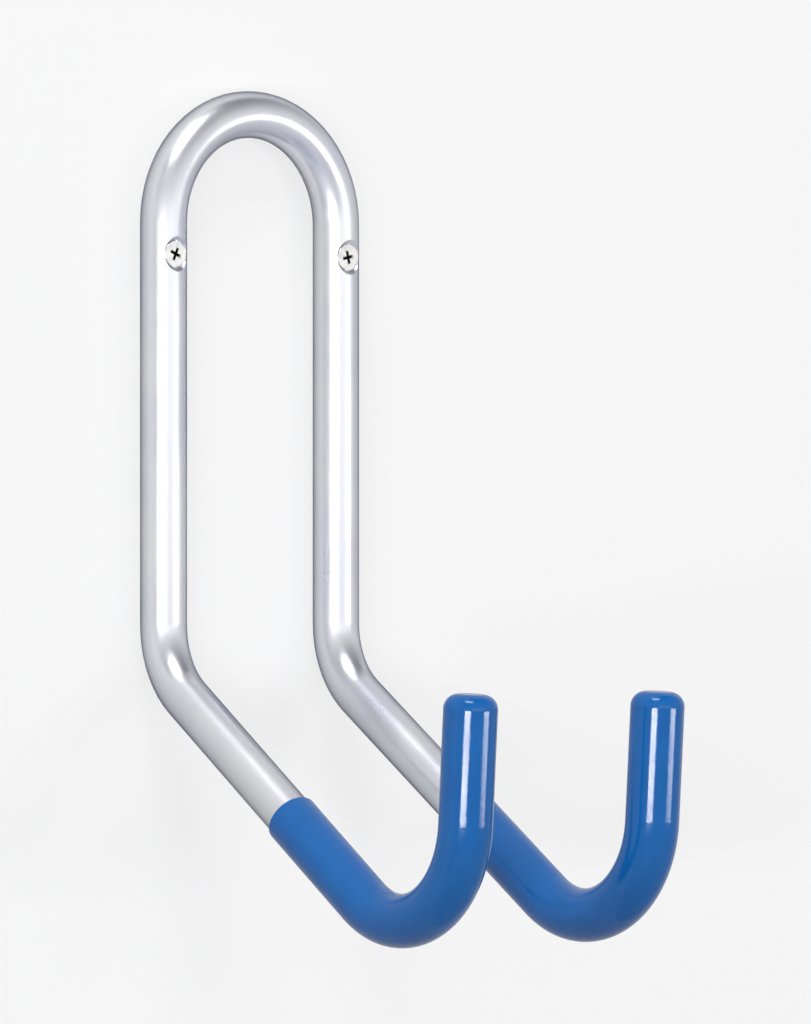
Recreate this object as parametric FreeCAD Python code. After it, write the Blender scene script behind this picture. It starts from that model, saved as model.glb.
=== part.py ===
import FreeCAD, Part
import math
import os

from FreeCAD import Placement, Rotation, Vector

# All lengths are in mm and all angles in degrees.
# X runs along the wall, Y into the wall and Z up.
# The wall's face is Y = 0, and the two screws lie on Z = 0.

# Bent tube
TUBE_DIAMETER = 16.0
TUBE_WALL = 1.5
LEG_SPACING = 75.0  # between the centre lines of the two legs
SCREW_BELOW_ARCH = 11.0  # from the foot of the arch down to the screws
LEG_LENGTH = 137.0  # straight leg, from the foot of the arch to the first bend
LEG_BEND_RADIUS = 30.0  # on the centre line, like every bend radius here
ARM_SLOPE = 34.0  # how far an arm falls below level
ARM_SPLAY = 0.9  # how far an arm turns away from the middle plane
ARM_LENGTH = 118.0
HOOK_BEND_RADIUS = 35.0
TIP_LEAN = 4.0  # how far a tip leans out from upright
TIP_LENGTH = 39.0

# Sleeves over the hooks
SLEEVE_WALL = 1.0
SLEEVE_ON_ARM = 47.0  # straight length of arm that a sleeve covers
SLEEVE_END = 4.0  # thickness of the closed end
SLEEVE_END_ROUND = 5.0

# Countersunk wall screws: the head's cone and its seat slope at 45 degrees
SCREW_DIAMETER = 5.0
SCREW_LENGTH = 60.0
SCREW_POINT_LENGTH = 6.0
HEAD_DIAMETER = 9.0
HEAD_EDGE = 0.3  # upright edge around the head
HEAD_SUNK = 1.2  # from the tube's crown down to the head
RECESS_SPAN = 4.6
RECESS_FLOOR_SPAN = 2.0
RECESS_WING = 1.1
RECESS_DEPTH = 2.2

# Wall plugs
PLUG_DIAMETER = 8.0
PLUG_LENGTH = 40.0
PLUG_COLLAR_LENGTH = 9.0  # plain length next to the wall's face
PLUG_NOSE_LENGTH = 4.0
PLUG_NOSE_SHARE = 0.45  # of the plug's wall, left at the tip of the nose
PLUG_TOOTH_COUNT = 6
PLUG_TOOTH_SHARE = 0.35  # of the plug's wall, cut away between two teeth
PLUG_SLIT = 1.0

# Clearances on the radius
SLEEVE_CLEARANCE = 0.05
SEAT_CLEARANCE = 0.05
HOLE_CLEARANCE = 0.25
PLUG_CLEARANCE = 0.05

# Values that follow from the sizes above
TUBE_RADIUS = TUBE_DIAMETER / 2
TUBE_BORE = TUBE_RADIUS - TUBE_WALL
LEG_X = LEG_SPACING / 2
SLEEVE_BORE = TUBE_RADIUS + SLEEVE_CLEARANCE
SLEEVE_RADIUS = SLEEVE_BORE + SLEEVE_WALL
SCREW_RADIUS = SCREW_DIAMETER / 2
HOLE_RADIUS = SCREW_RADIUS + HOLE_CLEARANCE
HEAD_RADIUS = HEAD_DIAMETER / 2
HEAD_TOP = HEAD_SUNK - TUBE_DIAMETER
HEAD_CONE_TOP = HEAD_TOP + HEAD_EDGE
PLUG_RADIUS = PLUG_DIAMETER / 2
PLUG_BORE = SCREW_RADIUS + PLUG_CLEARANCE
PLUG_WALL = PLUG_RADIUS - PLUG_BORE
CUT_MARGIN = 1.0  # how far a cutter runs past the face that it opens

LEFT = Vector(-1, 0, 0)
OUT = Vector(0, -1, 0)
INTO_WALL = Vector(0, 1, 0)
UP = Vector(0, 0, 1)
DOWN = Vector(0, 0, -1)


class Straight:
    """Straight length of a path, along local Z."""

    def __init__(self, length):
        self.length = length

    def end(self, place):
        return place * Placement(Vector(0, 0, self.length), Rotation())

    def swept(self, face, place):
        return face.extrude(place.Rotation.multVec(Vector(0, 0, self.length)))


class Bend:
    """Bend of a path away from local Z, towards local X."""

    def __init__(self, radius, angle):
        self.radius = radius
        self.angle = angle

    def end(self, place):
        turn = math.radians(self.angle)
        across = self.radius * (1 - math.cos(turn))
        along = self.radius * math.sin(turn)
        return place * Placement(Vector(across, 0, along), Rotation(Vector(0, 1, 0), self.angle))

    def swept(self, face, place):
        centre = place.multVec(Vector(self.radius, 0, 0))
        axis = place.Rotation.multVec(Vector(0, 1, 0))
        return face.revolve(centre, axis, self.angle)


def joined(shapes):
    """One solid from shapes that touch or overlap."""
    return shapes[0].fuse(shapes[1:]).removeSplitter().Solids[0]


def mirrored(shape):
    """The same shape on the other side of the middle plane."""
    return shape.mirror(Vector(), LEFT)


def end_of(path, place):
    for length in path:
        place = length.end(place)
    return place


def ring(place, radius, bore):
    """Ring-shaped face across a path."""
    circles = [Part.Wire(Part.makeCircle(radius)), Part.Wire(Part.makeCircle(bore))]
    face = Part.makeFace(circles, "Part::FaceMakerBullseye")
    face.Placement = place
    return face


def tube_along(path, place, radius, bore):
    """The lengths of a tube that follows a path from a place."""
    lengths = []
    for length in path:
        lengths.append(length.swept(ring(place, radius, bore), place))
        place = length.end(place)
    return lengths


def rounded_corner(before, corner, after, rounding):
    """Start, middle and end of the arc that rounds a corner between two neighbours."""
    back = (before - corner).normalize()
    ahead = (after - corner).normalize()
    half_angle = back.getAngle(ahead) / 2
    reach = rounding / math.tan(half_angle)
    inset = rounding / math.sin(half_angle) - rounding
    middle = corner + (back + ahead).normalize() * inset
    return corner + back * reach, middle, corner + ahead * reach


def outline(corners):
    """Closed wire in the XZ plane through corners of radius, height and rounding."""
    points = [Vector(radius, 0, height) for radius, height, rounding in corners]
    following = points[1:] + points[:1]
    arcs = []
    for index, point in enumerate(points):
        arcs.append(rounded_corner(points[index - 1], point, following[index], corners[index][2]))
    edges = []
    for index, (start, middle, end) in enumerate(arcs):
        edges.append(Part.makeLine(arcs[index - 1][2], start))
        if corners[index][2] > 0:
            edges.append(Part.Arc(start, middle, end).toShape())
    return Part.Wire(edges)


def turned(corners, place):
    """Solid of revolution about local Z, from an outline's corners."""
    solid = Part.Face(outline(corners)).revolve(Vector(), UP, 360)
    solid.Placement = place
    return solid


def arch_foot():
    """Foot of the arch on the right, heading up and bending to the left."""
    rotation = Rotation(LEFT, UP.cross(LEFT), UP, "ZXY")
    return Placement(Vector(LEG_X, -TUBE_RADIUS, SCREW_BELOW_ARCH), rotation)


def leg_top():
    """Foot of the arch on the right, heading down and bending out from the wall."""
    side = Rotation(UP, ARM_SPLAY).multVec(OUT)
    rotation = Rotation(side, DOWN.cross(side), DOWN, "ZXY")
    return Placement(Vector(LEG_X, -TUBE_RADIUS, SCREW_BELOW_ARCH), rotation)


def leg_path():
    """From the top of a leg to the top of its arm."""
    return [Straight(LEG_LENGTH), Bend(LEG_BEND_RADIUS, 90 - ARM_SLOPE)]


def hook_path(on_arm, on_tip):
    """The last of an arm, its hook and the first of its tip."""
    return [Straight(on_arm), Bend(HOOK_BEND_RADIUS, ARM_SLOPE + 90 - TIP_LEAN), Straight(on_tip)]


def screw_axis():
    """Centre of the right screw on the wall's face, heading into the wall."""
    return Placement(Vector(LEG_X, 0, 0), Rotation(UP, INTO_WALL))


def seat_cone(grow):
    """Corners of the cone that a screw's head seats in, grown on the radius."""
    mouth = -TUBE_DIAMETER - CUT_MARGIN
    mouth_radius = HEAD_RADIUS + SEAT_CLEARANCE + HEAD_CONE_TOP - mouth
    throat = mouth + mouth_radius - HOLE_RADIUS
    return [(0, mouth, 0), (mouth_radius + grow, mouth, 0), (HOLE_RADIUS + grow, throat, 0)]


def dimple_cup():
    """Wall of the tube, pressed in around a screw's seat."""
    cone = seat_cone(TUBE_WALL)
    reach, throat = cone[1][0], cone[2][1]
    cup = turned(cone + [(0, throat, 0)], screw_axis())
    rod = Part.makeCylinder(TUBE_RADIUS, 2 * reach, Vector(LEG_X, -TUBE_RADIUS, reach), DOWN)
    return cup.common(rod)


def screw_passage():
    """Seat for a screw's head and hole for its shank, through both walls of the tube."""
    hole = [(HOLE_RADIUS, CUT_MARGIN, 0), (0, CUT_MARGIN, 0)]
    return turned(seat_cone(0) + hole, screw_axis())


def bent_tube():
    arch = tube_along([Bend(LEG_X, 180)], arch_foot(), TUBE_RADIUS, TUBE_BORE)
    path = leg_path() + hook_path(ARM_LENGTH, TIP_LENGTH)
    side = tube_along(path, leg_top(), TUBE_RADIUS, TUBE_BORE)
    side.append(dimple_cup())
    tube = joined(arch + side + [mirrored(shape) for shape in side])
    passage = screw_passage()
    return tube.cut([passage, mirrored(passage)]).Solids[0]


def right_sleeve():
    cup = SLEEVE_END_ROUND
    mouth = end_of(leg_path() + [Straight(ARM_LENGTH - SLEEVE_ON_ARM)], leg_top())
    path = hook_path(SLEEVE_ON_ARM, TIP_LENGTH + SLEEVE_CLEARANCE - cup)
    body = tube_along(path, mouth, SLEEVE_RADIUS, SLEEVE_BORE)
    closed_end = turned([
        (0, cup, 0),
        (SLEEVE_BORE, cup, 0),
        (SLEEVE_BORE, 0, 0),
        (SLEEVE_RADIUS, 0, 0),
        (SLEEVE_RADIUS, cup + SLEEVE_END, SLEEVE_END_ROUND),
        (0, cup + SLEEVE_END, 0),
    ], end_of(path, mouth))
    return joined(body + [closed_end])


def cross_recess():
    """Tapered cross for the driver, in the face of a screw's head."""
    floor = HEAD_TOP + RECESS_DEPTH
    taper = turned([
        (0, HEAD_TOP, 0),
        (RECESS_SPAN / 2, HEAD_TOP, 0),
        (RECESS_FLOOR_SPAN / 2, floor, 0),
        (0, floor, 0),
    ], screw_axis())
    wing = Part.makeBox(RECESS_WING, RECESS_DEPTH, RECESS_SPAN)
    wing.translate(Vector(LEG_X - RECESS_WING / 2, HEAD_TOP, -RECESS_SPAN / 2))
    return wing.fuse(quarter_turn(wing)).common(taper)


def quarter_turn(shape):
    """The same shape, a quarter of a turn round the screw's axis."""
    copy = shape.copy()
    copy.rotate(Vector(LEG_X, 0, 0), INTO_WALL, 90)
    return copy


def right_wall_screw():
    tip = HEAD_TOP + SCREW_LENGTH
    blank = turned([
        (0, HEAD_TOP, 0),
        (HEAD_RADIUS, HEAD_TOP, 0),
        (HEAD_RADIUS, HEAD_CONE_TOP, 0),
        (SCREW_RADIUS, HEAD_CONE_TOP + HEAD_RADIUS - SCREW_RADIUS, 0),
        (SCREW_RADIUS, tip - SCREW_POINT_LENGTH, 0),
        (0, tip, 0),
    ], screw_axis())
    return blank.cut(cross_recess()).Solids[0]


def plug_teeth():
    """Corners of the saw teeth that grip the wall, from the collar to the nose."""
    pitch = (PLUG_LENGTH - PLUG_COLLAR_LENGTH - PLUG_NOSE_LENGTH) / PLUG_TOOTH_COUNT
    root = PLUG_RADIUS - PLUG_TOOTH_SHARE * PLUG_WALL
    corners = []
    for tooth in range(PLUG_TOOTH_COUNT):
        start = PLUG_COLLAR_LENGTH + tooth * pitch
        corners.append((PLUG_RADIUS, start, 0))
        corners.append((root, start + pitch, 0))
    return corners


def right_wall_plug():
    collar = [(PLUG_BORE, 0, 0), (PLUG_RADIUS, 0, 0)]
    nose = [(PLUG_BORE + PLUG_NOSE_SHARE * PLUG_WALL, PLUG_LENGTH, 0), (PLUG_BORE, PLUG_LENGTH, 0)]
    body = turned(collar + plug_teeth() + nose, screw_axis())
    slit = Part.makeBox(PLUG_SLIT, PLUG_LENGTH - PLUG_COLLAR_LENGTH, PLUG_DIAMETER)
    slit.translate(Vector(LEG_X - PLUG_SLIT / 2, PLUG_COLLAR_LENGTH, -PLUG_RADIUS))
    return body.cut([slit, quarter_turn(slit)]).Solids[0]


def export(shape, name):
    shape.exportStep("parts/" + name + ".step")


def export_pair(shape, name):
    export(shape, "right_" + name)
    export(mirrored(shape), "left_" + name)


os.makedirs("parts", exist_ok=True)
export(bent_tube(), "bent_tube")
export_pair(right_sleeve(), "sleeve")
export_pair(right_wall_screw(), "wall_screw")
export_pair(right_wall_plug(), "wall_plug")
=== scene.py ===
import math

import bmesh
import bpy
from mathutils import Matrix, Vector


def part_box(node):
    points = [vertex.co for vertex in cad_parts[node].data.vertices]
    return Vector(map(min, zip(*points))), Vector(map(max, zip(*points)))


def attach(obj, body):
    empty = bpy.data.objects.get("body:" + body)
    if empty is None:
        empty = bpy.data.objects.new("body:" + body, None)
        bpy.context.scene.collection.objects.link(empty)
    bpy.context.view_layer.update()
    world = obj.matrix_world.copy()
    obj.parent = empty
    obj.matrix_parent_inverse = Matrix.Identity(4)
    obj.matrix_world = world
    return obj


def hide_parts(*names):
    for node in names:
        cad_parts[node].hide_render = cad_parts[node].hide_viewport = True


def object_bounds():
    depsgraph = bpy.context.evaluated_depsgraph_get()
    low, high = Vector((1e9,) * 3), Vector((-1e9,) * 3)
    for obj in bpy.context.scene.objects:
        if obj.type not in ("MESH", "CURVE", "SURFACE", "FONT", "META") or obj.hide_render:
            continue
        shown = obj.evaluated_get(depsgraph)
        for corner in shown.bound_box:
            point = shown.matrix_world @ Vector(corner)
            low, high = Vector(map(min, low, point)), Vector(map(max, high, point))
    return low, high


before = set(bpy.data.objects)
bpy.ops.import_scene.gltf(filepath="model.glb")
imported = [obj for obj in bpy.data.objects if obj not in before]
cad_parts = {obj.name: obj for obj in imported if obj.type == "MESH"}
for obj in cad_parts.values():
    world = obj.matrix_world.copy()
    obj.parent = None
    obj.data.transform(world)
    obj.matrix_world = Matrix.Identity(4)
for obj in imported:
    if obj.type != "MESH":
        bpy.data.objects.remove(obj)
cad_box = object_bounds()

# All lengths are in metres and all angles in degrees.

# Camera: level with the hook and to its left, as in the photograph
CAMERA_AZIMUTH = -38.0
CAMERA_DISTANCE = 3.5  # from the middle of the hook's back
SENSOR = 0.036  # long side of the picture
HOOK_SHARE = 0.82  # of the picture's height that the hook fills

# Threaded wall screws: the head's size and the length come from model.glb
HEAD_BEVEL = 0.00015
HEAD_EDGE = 0.0003
SHANK_RADIUS = 0.0018
CORE_RADIUS = 0.0016
POINT_LENGTH = 0.006
POINT_RADIUS = 0.00003
THREAD_RADIUS = 0.0025
THREAD_PITCH = 0.0022
THREAD_LENGTH = 0.040
THREAD_FOOT = 0.0007  # width of the thread where it leaves the core
FOOT_SHARE = 0.95  # of the core's radius, at which the thread's feet lie
RECESS_SPAN = 0.0046
RECESS_WING = 0.0011
RECESS_FLOOR_SPAN = 0.0020
RECESS_FLOOR_WING = 0.0008
RECESS_DEPTH = 0.0022
SCREW_SEGMENTS = 48
SHARP_ANGLE = 30  # an edge that turns by more stays crisp

# Finishes: nearly all of a noise lies between these two values
NOISE_LOW = 0.3
NOISE_HIGH = 0.7

# Stage: a pale wall behind the hook and a pale floor
STAGE_SIZE = 40.0
FLOOR_BELOW = 1.3  # from the wall screws down to the floor
MIRRORED_SHARE = 0.5  # of the paint's glow, left in a reflection that meets the paint head-on

# Lamps: softboxes at one distance from the middle of the hook
LAMP_DISTANCE = 2.6


def node(tree, kind, inputs=None, **settings):
    """New node with its settings, and its inputs set to values or linked to outputs."""
    made = tree.nodes.new(kind)
    for name, value in settings.items():
        setattr(made, name, value)
    for name, value in (inputs or {}).items():
        if isinstance(value, bpy.types.NodeSocket):
            tree.links.new(value, made.inputs[name])
        else:
            made.inputs[name].default_value = value
    return made


def place_on(tree):
    """Place in the object's own space."""
    return node(tree, "ShaderNodeTexCoord").outputs["Object"]


def noise(tree, scale, detail=2.0):
    texture = node(tree, "ShaderNodeTexNoise", {"Vector": place_on(tree), "Scale": scale, "Detail": detail})
    return texture.outputs["Fac"]


def ramp(tree, value, *stops):
    """Colour by a value, through stops of position and colour."""
    made = node(tree, "ShaderNodeValToRGB", {"Fac": value})
    elements = made.color_ramp.elements
    positions, colours = zip(*stops)
    elements[0].position, elements[1].position = positions[0], positions[-1]
    for position in positions[1:-1]:
        elements.new(position)
    for element, colour in zip(elements, colours):
        element.color = (*colour, 1)
    return made.outputs["Color"]


def between(tree, value, low, high, to_low, to_high):
    """Value moved from one range to another."""
    made = node(tree, "ShaderNodeMapRange", {
        "Value": value,
        "From Min": low,
        "From Max": high,
        "To Min": to_low,
        "To Max": to_high,
    })
    return made.outputs["Result"]


def varied(tree, texture, least, most):
    """Noise spread over a range of values."""
    return between(tree, texture, NOISE_LOW, NOISE_HIGH, least, most)


def math_of(tree, operation, first, second):
    return node(tree, "ShaderNodeMath", {0: first, 1: second}, operation=operation).outputs["Value"]


def multiplied(tree, first, second):
    """Product of two colours."""
    made = node(tree, "ShaderNodeMix", data_type="RGBA", blend_type="MULTIPLY")
    made.inputs["Factor"].default_value = 1.0
    tree.links.new(first, made.inputs["A"])
    tree.links.new(second, made.inputs["B"])
    return made.outputs["Result"]


def bump(tree, height, strength, distance):
    made = node(tree, "ShaderNodeBump", {"Height": height, "Strength": strength, "Distance": distance})
    return made.outputs["Normal"]


def slot_tree(slot):
    """Empty node tree of the material that model.glb holds for a slot."""
    tree = bpy.data.materials[slot].node_tree
    tree.nodes.clear()
    return tree


def principled(tree, inputs):
    shader = node(tree, "ShaderNodeBsdfPrincipled", inputs)
    node(tree, "ShaderNodeOutputMaterial", {"Surface": shader.outputs["BSDF"]})


def finish_zinc_tube():
    """Bright zinc plating, darker at a glancing angle: soft bloom and a faint, fine grain."""
    tree = slot_tree("zinc_tube")
    bloom = noise(tree, scale=38, detail=3.0)
    grain = noise(tree, scale=2600)
    principled(tree, {
        "Base Color": ramp(tree, bloom, (0.35, (0.74, 0.76, 0.82)), (0.65, (0.80, 0.805, 0.82))),
        "Metallic": 1.0,
        "Roughness": varied(tree, bloom, 0.27, 0.34),
        "Specular Tint": (0.12, 0.12, 0.20, 1),
        "Normal": bump(tree, grain, strength=0.03, distance=0.0001),
    })


def finish_blue_pvc():
    """Glossy dipped PVC: slight mottling and orange peel."""
    tree = slot_tree("blue_pvc")
    mottle = noise(tree, scale=70, detail=4.0)
    peel = noise(tree, scale=520)
    principled(tree, {
        "Base Color": ramp(tree, mottle, (0.3, (0.004, 0.120, 0.405)), (0.7, (0.006, 0.136, 0.447))),
        "Roughness": varied(tree, mottle, 0.09, 0.15),
        "Specular IOR Level": 0.33,
        "Normal": bump(tree, peel, strength=0.10, distance=0.0002),
    })


def finish_zinc_screw():
    """Zinc plating with a faint yellow cast, a little rough from rolling, with painted shade in the recess.
    """
    tree = slot_tree("zinc_screw")
    cast = noise(tree, scale=400, detail=3.0)
    grain = noise(tree, scale=6000)
    depth = node(tree, "ShaderNodeSeparateXYZ", {"Vector": place_on(tree)}).outputs["Z"]
    plating = ramp(tree, cast, (0.35, (0.70, 0.71, 0.72)), (0.65, (0.76, 0.74, 0.68)))
    # Painted shade from a little below the face of the head to just past the floor of the recess
    shade = ramp(
        tree,
        between(tree, depth, 0, 2 * RECESS_DEPTH, 0, 1),
        (0.02, (1, 1, 1)),
        (0.15, (0.06, 0.06, 0.06)),
        (0.55, (0.06, 0.06, 0.06)),
        (0.6, (1, 1, 1)),
    )
    principled(tree, {
        "Base Color": multiplied(tree, plating, shade),
        "Metallic": 1.0,
        "Roughness": varied(tree, cast, 0.24, 0.36),
        "Normal": bump(tree, grain, strength=0.1, distance=0.00005),
    })


def finish_grey_nylon():
    """Matt moulded nylon with a fine grain."""
    tree = slot_tree("grey_nylon")
    shade = noise(tree, scale=160, detail=4.0)
    grain = noise(tree, scale=3500)
    principled(tree, {
        "Base Color": ramp(tree, shade, (0.3, (0.37, 0.38, 0.39)), (0.7, (0.44, 0.45, 0.46))),
        "Roughness": varied(tree, grain, 0.48, 0.62),
        "Normal": bump(tree, grain, strength=0.25, distance=0.0001),
    })


def point_at(step, radius, height):
    """Point on a circle round Z, a number of segments along."""
    turn = 2 * math.pi * step / SCREW_SEGMENTS
    return radius * math.cos(turn), radius * math.sin(turn), height


def join_loops(mesh, low, high):
    """Faces between two closed loops of as many vertices."""
    for index in range(len(low)):
        mesh.faces.new((low[index - 1], low[index], high[index], high[index - 1]))


def lathe(mesh, profile):
    """Rings of vertices round Z through a profile of radius and height, joined by faces."""
    rings = []
    for radius, height in profile:
        rings.append([mesh.verts.new(point_at(step, radius, height)) for step in range(SCREW_SEGMENTS)])
    for low, high in zip(rings, rings[1:]):
        join_loops(mesh, low, high)
    return rings


def cross_loop(mesh, span, wing, height):
    """Closed loop round a cross."""
    reach, half = span / 2, wing / 2
    arm = [(reach, -half), (reach, half), (half, half)]
    loop = []
    for quarter in range(4):
        turn = Matrix.Rotation(math.radians(90 * quarter), 3, "Z")
        for x, y in arm:
            loop.append(mesh.verts.new(turn @ Vector((x, y, height))))
    return loop


def loop_edges(mesh, loop):
    """Edges of a closed loop, made where there are none yet."""
    edges = []
    for index in range(len(loop)):
        ends = loop[index - 1], loop[index]
        edges.append(mesh.edges.get(ends) or mesh.edges.new(ends))
    return edges


def add_recess(mesh, rim):
    """Cross recess in the face of the head that the rim goes round."""
    mouth = cross_loop(mesh, RECESS_SPAN, RECESS_WING, 0)
    floor = cross_loop(mesh, RECESS_FLOOR_SPAN, RECESS_FLOOR_WING, RECESS_DEPTH)
    join_loops(mesh, mouth, floor)
    mesh.faces.new(floor)
    bmesh.ops.triangle_fill(mesh, use_beauty=True, edges=loop_edges(mesh, rim) + loop_edges(mesh, mouth))


def add_thread(mesh, start, end):
    """Helical ridge with a sharp crest, run out over a turn at both ends."""
    steps = int((end - start - THREAD_FOOT / 2) / THREAD_PITCH * SCREW_SEGMENTS)
    rows = []
    for step in range(steps + 1):
        height = start + THREAD_PITCH * step / SCREW_SEGMENTS
        core = CORE_RADIUS * min(1, (end - height) / POINT_LENGTH)
        run_out = min(1, step / SCREW_SEGMENTS, (steps - step) / SCREW_SEGMENTS)
        crest = core + (THREAD_RADIUS - CORE_RADIUS) * run_out
        rows.append([
            mesh.verts.new(point_at(step, core * FOOT_SHARE, height - THREAD_FOOT / 2)),
            mesh.verts.new(point_at(step, crest, height)),
            mesh.verts.new(point_at(step, core * FOOT_SHARE, height + THREAD_FOOT / 2)),
        ])
    for low, high in zip(rows, rows[1:]):
        join_loops(mesh, low, high)
    mesh.faces.new(rows[0])
    mesh.faces.new(rows[-1])


def screw_mesh(head_radius, length):
    """Countersunk screw along Z from the face of its head, with its recess and thread."""
    mesh = bmesh.new()
    neck = length - THREAD_LENGTH
    rings = lathe(mesh, [
        (head_radius - HEAD_BEVEL, 0),
        (head_radius, HEAD_BEVEL),
        (head_radius, HEAD_EDGE),
        (SHANK_RADIUS, HEAD_EDGE + head_radius - SHANK_RADIUS),
        (SHANK_RADIUS, neck),
        (CORE_RADIUS, neck + THREAD_PITCH),
        (CORE_RADIUS, length - POINT_LENGTH),
        (POINT_RADIUS, length),
    ])
    mesh.faces.new(rings[-1])
    add_recess(mesh, rings[0])
    add_thread(mesh, neck, length)
    bmesh.ops.recalc_face_normals(mesh, faces=mesh.faces)
    data = bpy.data.meshes.new("threaded_screw")
    mesh.to_mesh(data)
    mesh.free()
    data.shade_smooth()
    data.set_sharp_from_angle(angle=math.radians(SHARP_ANGLE))
    data.materials.append(bpy.data.materials["zinc_screw"])
    return data


def place_screw(side, data, turn):
    """Threaded screw in place of the plain one, heading into the wall."""
    low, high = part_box(side + "_wall_screw")
    middle = (low + high) / 2
    into_wall = Matrix.Rotation(math.radians(-90), 4, "X")
    driven = Matrix.Rotation(math.radians(turn), 4, "Z")
    screw = bpy.data.objects.new(side + "_threaded_screw", data)
    screw.matrix_world = Matrix.Translation((middle.x, low.y, middle.z)) @ into_wall @ driven
    bpy.context.scene.collection.objects.link(screw)
    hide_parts(side + "_wall_screw")
    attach(screw, "root")


def add_screws():
    low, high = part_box("right_wall_screw")
    data = screw_mesh((high.x - low.x) / 2, high.y - low.y)
    place_screw("left", data, turn=24)
    place_screw("right", data, turn=-13)


def seen_glow(tree, glow, mirrored):
    """Strength of a glow that is dimmer in a reflection, the more so where that meets the paint head-on."""
    glancing = node(tree, "ShaderNodeLayerWeight").outputs["Facing"]
    head_on = math_of(tree, "SUBTRACT", 1, glancing)
    dimming = math_of(tree, "MULTIPLY", mirrored, head_on)
    return between(tree, dimming, 0, 1, glow, MIRRORED_SHARE * glow)


def stage_paint(name, colour, glow):
    """Matt paint with a glow of its own, seen from its front only; light for the object passes through."""
    material = bpy.data.materials.new(name)
    material.use_nodes = True
    tree = material.node_tree
    tree.nodes.clear()
    rays = node(tree, "ShaderNodeLightPath").outputs
    seen = math_of(tree, "MAXIMUM", rays["Is Camera Ray"], rays["Is Glossy Ray"])
    seen = math_of(tree, "MAXIMUM", seen, rays["Is Transmission Ray"])
    back = node(tree, "ShaderNodeNewGeometry").outputs["Backfacing"]
    matt = node(tree, "ShaderNodeBsdfDiffuse", {"Color": (*colour, 1)})
    light = node(tree, "ShaderNodeEmission", {"Strength": seen_glow(tree, glow, rays["Is Glossy Ray"])})
    both = node(tree, "ShaderNodeAddShader", {0: matt.outputs["BSDF"], 1: light.outputs["Emission"]})
    clear = node(tree, "ShaderNodeBsdfTransparent")
    mix = node(tree, "ShaderNodeMixShader", {
        0: math_of(tree, "GREATER_THAN", seen, back),
        1: clear.outputs["BSDF"],
        2: both.outputs["Shader"],
    })
    node(tree, "ShaderNodeOutputMaterial", {"Surface": mix.outputs["Shader"]})
    return material


def stage_plane(name, place, turn, material):
    half = STAGE_SIZE / 2
    corners = [(-half, -half, 0), (half, -half, 0), (half, half, 0), (-half, half, 0)]
    data = bpy.data.meshes.new(name)
    data.from_pydata(corners, [], [(0, 1, 2, 3)])
    data.materials.append(material)
    plane = bpy.data.objects.new(name, data)
    plane.location = place
    plane.rotation_euler = (math.radians(turn), 0, 0)
    bpy.context.scene.collection.objects.link(plane)


def add_stage():
    """Pale wall behind the hook and pale floor below it."""
    wall_paint = stage_paint("wall_paint", colour=(0.30, 0.30, 0.30), glow=0.65)
    floor_paint = stage_paint("floor_paint", colour=(0.43, 0.43, 0.475), glow=0.485)
    stage_plane("wall", place=(0, 0, 0), turn=90, material=wall_paint)
    stage_plane("floor", place=(0, 0, -FLOOR_BELOW), turn=0, material=floor_paint)


def add_world():
    """Soft room light: as pale as the floor at the horizon, brighter just above, dim overhead and below."""
    world = bpy.data.worlds.new("studio")
    bpy.context.scene.world = world
    world.use_nodes = True
    tree = world.node_tree
    tree.nodes.clear()
    direction = node(tree, "ShaderNodeTexCoord").outputs["Generated"]
    upward = node(tree, "ShaderNodeSeparateXYZ", {"Vector": direction}).outputs["Z"]
    colour = ramp(
        tree,
        between(tree, upward, -1, 1, 0, 1),
        (0.0, (0.10, 0.10, 0.12)),
        (0.40, (0.22, 0.22, 0.25)),
        (0.45, (0.655, 0.66, 0.685)),
        (0.52, (0.67, 0.67, 0.69)),
        (0.62, (0.82, 0.82, 0.83)),
        (1.0, (0.08, 0.08, 0.11)),
    )
    sky = node(tree, "ShaderNodeBackground", {"Color": colour})
    node(tree, "ShaderNodeOutputWorld", {"Surface": sky.outputs["Background"]})


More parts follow.
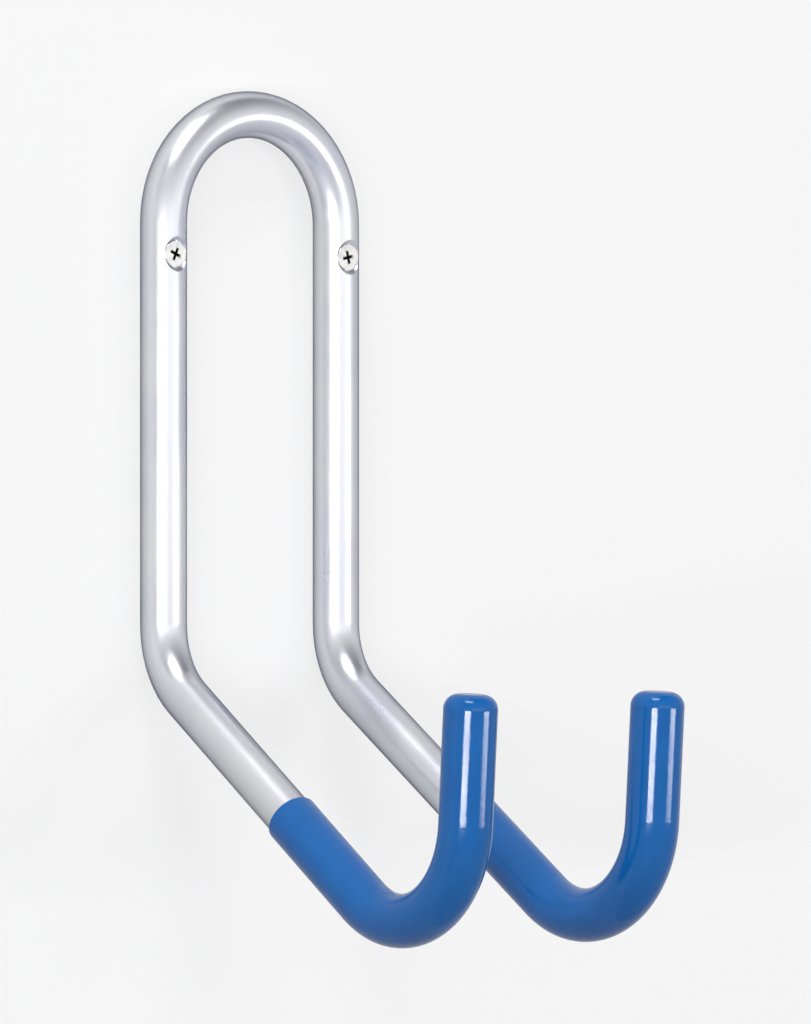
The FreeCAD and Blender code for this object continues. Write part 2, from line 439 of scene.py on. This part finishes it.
def towards(azimuth, elevation):
    """Unit vector from the hook; azimuth 0 is straight out from the wall and 90 is to the right."""
    across, up = math.radians(azimuth), math.radians(elevation)
    return Vector((math.sin(across) * math.cos(up), -math.cos(across) * math.cos(up), math.sin(up)))


def facing(place, target):
    return (target - place).to_track_quat("-Z", "Y").to_euler()


def hook_middle():
    """Middle of what stands in front of the wall."""
    low, high = cad_box
    return Vector((0, low.y / 2, (low.z + high.z) / 2))


def add_lamp(name, azimuth, elevation, width, height, brightness):
    """Softbox turned to the hook; a brightness of 1 looks white."""
    lamp = bpy.data.lights.new(name, "AREA")
    lamp.shape = "RECTANGLE"
    lamp.size, lamp.size_y = width, height
    lamp.energy = brightness * math.pi * width * height
    light = bpy.data.objects.new(name, lamp)
    light.location = hook_middle() + LAMP_DISTANCE * towards(azimuth, elevation)
    light.rotation_euler = facing(light.location, hook_middle())
    light.visible_camera = False
    bpy.context.scene.collection.objects.link(light)


def add_lamps():
    """Three strips that draw the highlights along the legs and tips, and a softbox overhead."""
    add_lamp("key", azimuth=-50, elevation=-8, width=1.1, height=0.17, brightness=35.0)
    add_lamp("fill", azimuth=31, elevation=-8, width=1.1, height=0.17, brightness=17.0)
    add_lamp("front", azimuth=-10, elevation=4, width=2.6, height=0.30, brightness=1.6)
    add_lamp("top", azimuth=-45, elevation=64, width=1.1, height=0.90, brightness=10.0)


def add_camera():
    low, high = cad_box
    data = bpy.data.cameras.new("camera")
    data.sensor_width = SENSOR * 1000
    data.lens = 1000 * SENSOR * CAMERA_DISTANCE * HOOK_SHARE / (high.z - low.z)
    camera = bpy.data.objects.new("camera", data)
    back = Vector((0, 0, hook_middle().z))
    camera.location = back + CAMERA_DISTANCE * towards(CAMERA_AZIMUTH, 0)
    camera.rotation_euler = facing(camera.location, hook_middle())
    bpy.context.scene.collection.objects.link(camera)
    bpy.context.scene.camera = camera


finish_zinc_tube()
finish_blue_pvc()
finish_zinc_screw()
finish_grey_nylon()
add_screws()
add_stage()
add_world()
add_lamps()
add_camera()
bpy.context.scene.view_settings.view_transform = "Standard"
